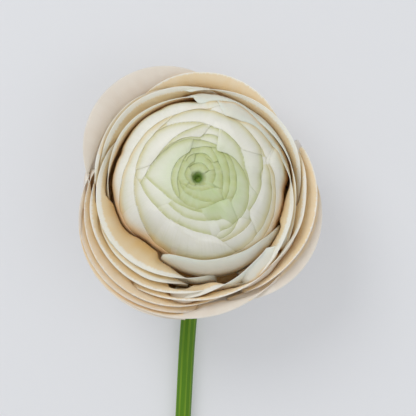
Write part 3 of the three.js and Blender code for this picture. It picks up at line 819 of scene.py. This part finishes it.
def petal_shader(tree, base, tint, veins, translucence):
    """Petal tissue: a soft satin skin that also lets diffuse light through, tinted on the way.

    Cell walls scatter light without a sharp highlight, so the skin is rough, with the IOR of
    wet plant tissue. The veins stand out by some hundredths of a millimetre.
    """
    normal = add(tree, "Bump", {"Height": veins, "Strength": 0.35, "Distance": 0.00012})
    sizes = {"Value": veins, "From Min": 0.2, "From Max": 0.8, "To Min": 0.52, "To Max": 0.64}
    satin = add(tree, "MapRange", sizes, interpolation_type="SMOOTHSTEP")
    inputs = {"Base Color": base, "Roughness": satin, "IOR": 1.4, "Normal": normal}
    skin = add(tree, "BsdfPrincipled", {**inputs, "Specular IOR Level": 0.3})
    through = add(tree, "Mix", {0: 0.5, 6: base, 7: tint}, 2, data_type="RGBA")
    glow = add(tree, "BsdfTranslucent", {"Color": through, "Normal": normal})
    whole = add(tree, "MixShader", {0: translucence, 1: skin, 2: glow})
    add(tree, "OutputMaterial", {"Surface": whole})


def blush_tissue(bloom):
    """Loose petals: white at the margin, peach to apricot inside, pale pink outside, painted shade in
    creases.
    """
    # Thin petal tissue with its pigment towards the root. The eye sees a satin sheen without a
    # highlight, and warm light that has come through one petal and glows on the next. In the creases
    # under the lips of the petals over it, the shade is painted into the colour as a golden tint.
    material, tree = new_material("Blush petal tissue")
    veins, cloud = drawn_noise(tree, *VEINS), drawn_noise(tree, *CLOUDS)
    margin = add(tree, "Attribute", output="Fac", attribute_name="margin")
    age = add(tree, "Attribute", output="Fac", attribute_name="age")
    edge = bloom.margin / MM
    sizes = {"Value": age, "From Min": 0.35, "From Max": 0.7, "To Min": 0.0, "To Max": edge * 0.65}
    narrowed = add(tree, "MapRange", sizes, interpolation_type="SMOOTHSTEP")
    ragged = add(tree, "Math", {0: veins, 1: 1.5, 2: margin}, operation="MULTIPLY_ADD")
    depth = add(tree, "Math", {0: ragged, 1: narrowed}, operation="ADD")
    inside = [
        (depth, (edge * 0.6 + 0.7, edge + 0.7), (0, 1), bloom.peach),
        (depth, (3.2, 9), (0, 1), bloom.apricot),
        (age, (0.7, 0.85), (0, 0.85), bloom.pink),
    ]
    outside = [
        (depth, (1, 8), (0, 1), bloom.pink),
        (age, (0.2, 0.8), (1, 0), bloom.pearl),
    ]
    layers = [
        ("inner_face", (0, 1), (0, 1), painted(tree, bloom.white, inside)),
        # painted shade: golden tint, strongest at the lip of another petal and gone 1.6 mm from it
        ("covered", (0, 1.6), (0.7, 0), bloom.shade_gold),
        (cloud, (0.35, 0.75), (0, 0.18), bloom.white),
    ]
    base = painted(tree, painted(tree, bloom.white, outside), layers)
    petal_shader(tree, base, bloom.white, veins, 0.45)
    return material


def white_tissue(bloom):
    """Closed petals: white at the lip, cream below it, green towards the heart, with painted shade."""
    # Young petal tissue without pigment, in many layers: the eye sees soft white that glows from
    # within, and green or golden where light has gone through several petals. Painted shade is laid
    # into the colour under the lips of other petals and low on the ball.
    material, tree = new_material("White petal tissue")
    veins, cloud = drawn_noise(tree, *VEINS), drawn_noise(tree, *CLOUDS)
    crease_shade = painted(tree, bloom.shade_moss, [("from_heart", (14.0, 26.0), (0, 1), bloom.shade_gold)])
    layers = [
        ("margin", (1, 12), (0, 1), bloom.cream),
        ("from_heart", (16.5, 7), (0, 0.75), bloom.green),
        # painted shade where the lips of other petals lie over this one
        ("covered", (0, 4.5), (0.42, 0), bloom.shade),
        # painted shade: golden tint, darker towards the bottom of the closed ball
        ("level", (9, 2), (0, 0.7), bloom.shade_gold),
        # painted shade in the creases right under the lips of other petals
        ("covered", (0, 2), (0.55, 0), crease_shade),
        (veins, (0.45, 0.7), (0, 0.13), bloom.shade),
        (cloud, (0.35, 0.75), (0, 0.2), bloom.white),
        ("from_pole", (2.8, 0.8), (0, 0.95), bloom.pit),
    ]
    petal_shader(tree, painted(tree, bloom.white, layers), bloom.cream, veins, 0.4)
    return material


def packed_tissue(name, hex_colour):
    """Crowded lower parts of the petals: soft tissue with fine folds close together."""
    # Petal bases pressed into one another: the eye sees only dull, broken colour in the gaps.
    material, tree = new_material(name)
    place = add(tree, "TexCoord", output="Object")
    folds = add(tree, "TexNoise", {"Vector": place, "Scale": 1 / (FOLDS * MM), "Detail": 3.0})
    normal = add(tree, "Bump", {"Height": folds, "Strength": 0.6, "Distance": 0.0003})
    tissue = np.array(linear(hex_colour))
    base = painted(tree, tissue, [(folds, (0.3, 0.7), (0, 0.5), 0.8 * tissue)])
    skin = add(tree, "BsdfPrincipled", {"Base Color": base, "Roughness": 0.65, "Normal": normal})
    add(tree, "OutputMaterial", {"Surface": skin})
    return material


def stem_skin(stem):
    """Living stem: matt green skin with paler ribs, darker between them."""
    # A waxy skin over juicy tissue: the eye sees a broad soft sheen that follows the ribs.
    material, tree = new_material("Green stem skin")
    grain = drawn_noise(tree, *STREAKS)
    streaked = painted(tree, stem.stem_green, [(grain, (0.25, 0.75), (0, 1), stem.stem_light)])
    base = painted(tree, stem.stem_green, [("rib", (-0.2, 1.0), (0, 1), streaked)])
    normal = add(tree, "Bump", {"Height": grain, "Strength": 0.4, "Distance": 0.0001})
    inputs = {"Base Color": base, "Roughness": 0.45, "IOR": 1.45, "Normal": normal}
    skin = add(tree, "BsdfPrincipled", {**inputs, "Specular IOR Level": 0.25})
    add(tree, "OutputMaterial", {"Surface": skin})
    return material


def sepal_skin(stem):
    """Sepals: soft green leaf tissue with fine lengthwise veins and a paler margin."""
    # Thin leaf tissue: the eye sees a matt green, paler where the light comes through its edge.
    material, tree = new_material("Green sepal skin")
    veins = drawn_noise(tree, *VEINS)
    layers = [
        ("margin", (0.2, 1.6), (0, 1), stem.sepal_green),
        (veins, (0.3, 0.7), (0, 0.35), linear("#5f7d2b")),
    ]
    base = painted(tree, linear("#c3cf93"), layers)
    petal_shader(tree, base, stem.sepal_green, veins, 0.2)
    return material


# ---- Operators ----


def build_petals(name, seeds, grid, look, core):
    """Builds the petals with seeds from the given one up, one piece each, and their packed middle.

    core holds the points and faces of that middle, and its material.
    """
    u, v = petal_grid(*grid)
    petals = laid_petals()
    for k, laid in enumerate(petals):
        number = laid.seed - seeds + 1
        if 0 < number <= SEED_STEP:
            surface = loose_surface if laid.petal.height else closed_surface
            points = surface(laid, u * laid.petal.reach, v)
            others = (petals[k + 1 :], petals[:k])
            petal_piece(f"{name}_{number:02d}", points, laid.seed, look, others, laid.petal.sag > 0)
    (points, faces), tissue = core
    new_piece(f"{name}_bases", placed(points), faces, (tissue, *look[1:]))
    return {"FINISHED"}


class BuildCupPetals(bpy.types.Operator):
    """Builds the loose outer petals, one piece each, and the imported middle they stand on."""

    bl_idname = "ranunculus.build_cup_petals"
    bl_label = "Loose outer petals"

    def execute(self, context):
        look = (blush_tissue(context.scene.ranunculus_bloom), "blush_petal", "outer_petals")
        share = np.linspace(0, CUP_CORE_SHARE, CUP_CORE_RINGS)
        below = np.stack(underside(*CUP_CORE, share), axis=-1)
        rim = [(below[-1, 0] - CUP_CORE_RIM, CUP_CORE_TOP)]
        middle = closed_rings(turned_rings(np.concatenate([below, rim]), ROUND_SIDES))
        core = (middle, packed_tissue("Packed blush tissue", "#f8dca4"))
        return build_petals("outer_petal", CUP_SEEDS, CUP_GRID, look, core)


class BuildBallPetals(bpy.types.Operator):
    """Builds the closed ball of white petals, one piece each, and its packed middle."""

    bl_idname = "ranunculus.build_ball_petals"
    bl_label = "Closed white petals"

    def execute(self, context):
        look = (white_tissue(context.scene.ranunculus_bloom), "white_petal", "middle_petals")
        middle = packed_middle(HEART_SLOPE, PACKED_ENDS[1])
        core = (middle, packed_tissue("Packed white tissue", "#dfe6b4"))
        return build_petals("middle_petal", BALL_SEEDS, BALL_GRID, look, core)


class BuildHeartPetals(bpy.types.Operator):
    """Builds the small green petals round the dimple in the middle, and their packed middle."""

    bl_idname = "ranunculus.build_heart_petals"
    bl_label = "Green heart petals"

    def execute(self, context):
        look = (white_tissue(context.scene.ranunculus_bloom), "green_petal", "heart_petals")
        middle = packed_middle(PACKED_ENDS[0], HEART_SLOPE)
        core = (middle, packed_tissue("Packed green tissue", "#6f8c2a"))
        return build_petals("heart_petal", HEART_SEEDS, HEART_GRID, look, core)


class BuildCalyx(bpy.types.Operator):
    """Builds the five small sepals under the petals and the ring that carries them."""

    bl_idname = "ranunculus.build_calyx"
    bl_label = "Calyx"

    def execute(self, context):
        look = (sepal_skin(context.scene.ranunculus_stem), "sepal", "calyx")
        u, v = petal_grid(*SEPAL_GRID)
        for k, bearing in enumerate(SEPAL_ANGLES):
            points = sepal_surface(bearing, u, v)
            petal_piece(f"sepal_{k + 1}", points, SEPAL_SEEDS + k, look)
        rings = turned_rings(CALYX_RING, CALYX_SIDES)
        index = np.arange(len(CALYX_RING) * CALYX_SIDES).reshape(-1, CALYX_SIDES)
        faces = grid_faces(np.pad(index, (0, 1), mode="wrap"))
        new_piece("sepal_ring", placed(rings).reshape(-1, 3), [faces], look)
        return {"FINISHED"}


def sepal_surface(bearing, u, v):
    """A sepal: out from its ring and down with a power of v, its width the root of a sine of v.

    Its side edges hang below the middle with the square of u, and its tip is round.
    """
    radius = mix(*SEPAL_RADII, v)
    width = SEPAL_WIDTH / 2 * np.sqrt(np.sin(math.pi * mix(*SEPAL_ENDS, v)))
    height = SEPAL_LEVEL - SEPAL_DROP * v**SEPAL_CURL - SEPAL_ARCH * u * u
    height = height + SEPAL_LUMPS * np.sin(9 * v + 3 * u)
    middle = around_axis(bearing, radius, height)
    return middle + around_axis(bearing + 90, width * u, 0 * u)


def stem_path():
    """Middle line of the stem in the row's frame, in mm, from the bloom to the cut end.

    An arc leads from the bloom's axis down to the table. After it the sideways place follows a
    cubic between given points, whose slopes are those of their neighbours, and the height is
    the stem's own radius. The radii come with it.
    """
    foot = np.array([*BLOOM_CENTRE[:2], 0])
    top = placed(np.array([0, 0, RECEPTACLE_HEIGHT - NECK_START])) / MM - foot
    bend = (top[2] - NECK_RADIUS) / (1 - math.sin(BLOOM_TILT))
    angle = np.linspace(BLOOM_TILT, math.pi / 2, NECK_STEPS)
    back = bend * (math.cos(BLOOM_TILT) - np.cos(angle))
    down = bend * (np.sin(angle) - math.sin(BLOOM_TILT))
    neck = np.stack([0 * angle, top[1] - back, top[2] - down], axis=-1)
    start = neck[-1, 1]
    x, y = np.array([(0, start), (NECK_RUN[0], start + NECK_RUN[1]), *STEM_LINE]).T
    slope = np.gradient(x, y)
    along = np.linspace(start, y[-1], STEM_STEPS)[1:]
    span = np.clip(np.searchsorted(-y, -along) - 1, 0, len(y) - 2)
    width = y[span + 1] - y[span]
    t = (along - y[span]) / width
    leaving = width * t * (1 - t) * ((1 - t) * slope[span] - t * slope[span + 1])
    sideways = mix(x[span], x[span + 1], smooth(0, 1, t)) + leaving
    radius = mix(NECK_RADIUS, STEM_RADIUS, (start - along) / (start - y[-1]))
    path = np.concatenate([neck, np.stack([sideways, along, radius], axis=-1)]) + foot
    return path, np.concatenate([np.full(len(neck), NECK_RADIUS), radius])


class BuildStem(bpy.types.Operator):
    """Builds the ribbed stem with its hollow cut end, and the swollen top that carries the bloom."""

    bl_idname = "ranunculus.build_stem"
    bl_label = "Stem"

    def execute(self, context):
        stem = context.scene.ranunculus_stem
        look = (stem_skin(stem), "stem", "stem")
        path, radius = stem_path()
        forward = unit(np.gradient(path, axis=0))
        # the cut end: round its edge, cross the rim and go down the bore
        radii, depths = np.array(STEM_END).T
        path = np.concatenate([path, path[-1] - forward[-1] * depths[:, None]])
        radius = np.concatenate([radius, radii])
        forward = np.concatenate([forward, np.repeat(forward[-1:], len(radii), axis=0)])
        aside = unit([1, 0, 0] - forward * forward[:, :1])
        upward = np.cross(forward, aside)
        angle = np.arange(STEM_SIDES) * 2 * math.pi / STEM_SIDES
        rib = np.cos(STEM_RIBS * angle) * np.ones((len(path), 1))
        along = run_length(path[:, None], 0)
        ribbed = smooth(0, RIB_START, along)
        ribbed[-len(radii) :] = 0
        wall = radius[:, None] - stem.rib_height / MM * ribbed * (0.5 - 0.5 * rib)
        rings = (
            path[:, None]
            + (wall * np.cos(angle))[..., None] * aside[:, None]
            + (wall * np.sin(angle))[..., None] * upward[:, None]
        )
        points, faces = closed_rings(rings)
        tissue = np.stack(np.broadcast_arrays(angle * NECK_RADIUS, along, 0 * rib), axis=-1)
        values = {
            "rib": np.concatenate([rib.ravel(), np.zeros(2)]),
            "tissue": np.concatenate([tissue.reshape(-1, 3), np.zeros((2, 3))]),
        }
        new_piece("stem_stalk", points * MM, faces, look, values)
        points, faces = closed_rings(turned_rings(RECEPTACLE, STEM_SIDES))
        new_piece("stem_receptacle", placed(points), faces, look)
        return {"FINISHED"}


class SetStage(bpy.types.Operator):
    """Sets the table, the soft studio light and the camera that looks straight down."""

    bl_idname = "ranunculus.set_stage"
    bl_label = "Stage"

    def execute(self, context):
        scene = context.scene
        stage = scene.ranunculus_stage
        scene.view_settings.view_transform = "Standard"
        scene.view_settings.look = "None"
        scene.cycles.max_bounces = 24
        scene.cycles.diffuse_bounces = 16
        scene.cycles.transmission_bounces = 16

        material, tree = new_material("Pale matt table laminate")
        glow = {"Emission Color": stage.table, "Emission Strength": stage.table_glow}
        top = add(tree, "BsdfPrincipled", {"Base Color": stage.table, "Roughness": 0.9, **glow})
        add(tree, "OutputMaterial", {"Surface": top})
        mesh = bpy.data.meshes.new("table_top")
        signs = ((-1, -1, 0), (1, -1, 0), (1, 1, 0), (-1, 1, 0))
        mesh.from_pydata(TABLE_REACH * np.array(signs), [], [(0, 1, 2, 3)])
        mesh.materials.append(material)
        table = new_object("table_top", mesh)

        world = bpy.data.worlds.new("Studio")
        world.use_nodes = True
        sky = world.node_tree.nodes["Background"]
        sky.inputs["Color"].default_value = (*linear("#f2f4f8"), 1)
        sky.inputs["Strength"].default_value = stage.fill
        scene.world = world

        target = BLOOM_CENTRE * MM
        for name, place, size, power in STUDIO_LIGHTS:
            lamp = bpy.data.lights.new(name, "AREA")
            lamp.shape = "DISK"
            lamp.size = size
            lamp.energy = power * stage.key
            light = new_object(name, lamp)
            light.location = target + np.array(place)
            light.rotation_euler = pointing(-np.array(place))

        lens = bpy.data.cameras.new("Overhead camera")
        lens.sensor_width = 36
        lens.lens = lens.sensor_width * stage.camera_height / stage.view_width
        lens.clip_start = 0.01
        scene.camera = new_object("Overhead camera", lens)
        offset = np.array([*CAMERA_OFFSET, 0]) * MM
        scene.camera.location = target + offset + [0, 0, stage.camera_height]
        return {"FINISHED"}


def pointing(direction):
    """Rotation that turns a lamp's beam, along its own -Z, to the given direction."""
    x, y, z = unit(direction)
    return (math.acos(-z), 0, math.atan2(-x, y) if x or y else 0)


# ---- Add-on ----

BUILDERS = (BuildCupPetals, BuildBallPetals, BuildHeartPetals, BuildCalyx, BuildStem, SetStage)
SETTINGS = {
    "ranunculus_bloom": BloomSettings,
    "ranunculus_stem": StemSettings,
    "ranunculus_stage": StageSettings,
}


class RanunculusPanel(bpy.types.Panel):
    """Lists the builders and the settings they read."""

    bl_idname = "VIEW3D_PT_ranunculus"
    bl_label = "Ranunculus"
    bl_space_type = "VIEW_3D"
    bl_region_type = "UI"
    bl_category = "Ranunculus"

    def draw(self, context):
        for builder in BUILDERS:
            self.layout.operator(builder.bl_idname)
        for group in SETTINGS:
            settings = getattr(context.scene, group)
            column = self.layout.column()
            for key in settings.__annotations__:
                column.prop(settings, key)


CLASSES = (*SETTINGS.values(), *BUILDERS, RanunculusPanel)


def register():
    for cls in CLASSES:
        bpy.utils.register_class(cls)
    for key, group in SETTINGS.items():
        setattr(bpy.types.Scene, key, PointerProperty(type=group))


def unregister():
    for key in SETTINGS:
        delattr(bpy.types.Scene, key)
    for cls in reversed(CLASSES):
        bpy.utils.unregister_class(cls)


def main():
    register()
    bpy.ops.ranunculus.build_cup_petals()
    bpy.ops.ranunculus.build_ball_petals()
    bpy.ops.ranunculus.build_heart_petals()
    bpy.ops.ranunculus.build_calyx()
    bpy.ops.ranunculus.build_stem()
    bpy.ops.ranunculus.set_stage()


if __name__ == "__main__":
    main()
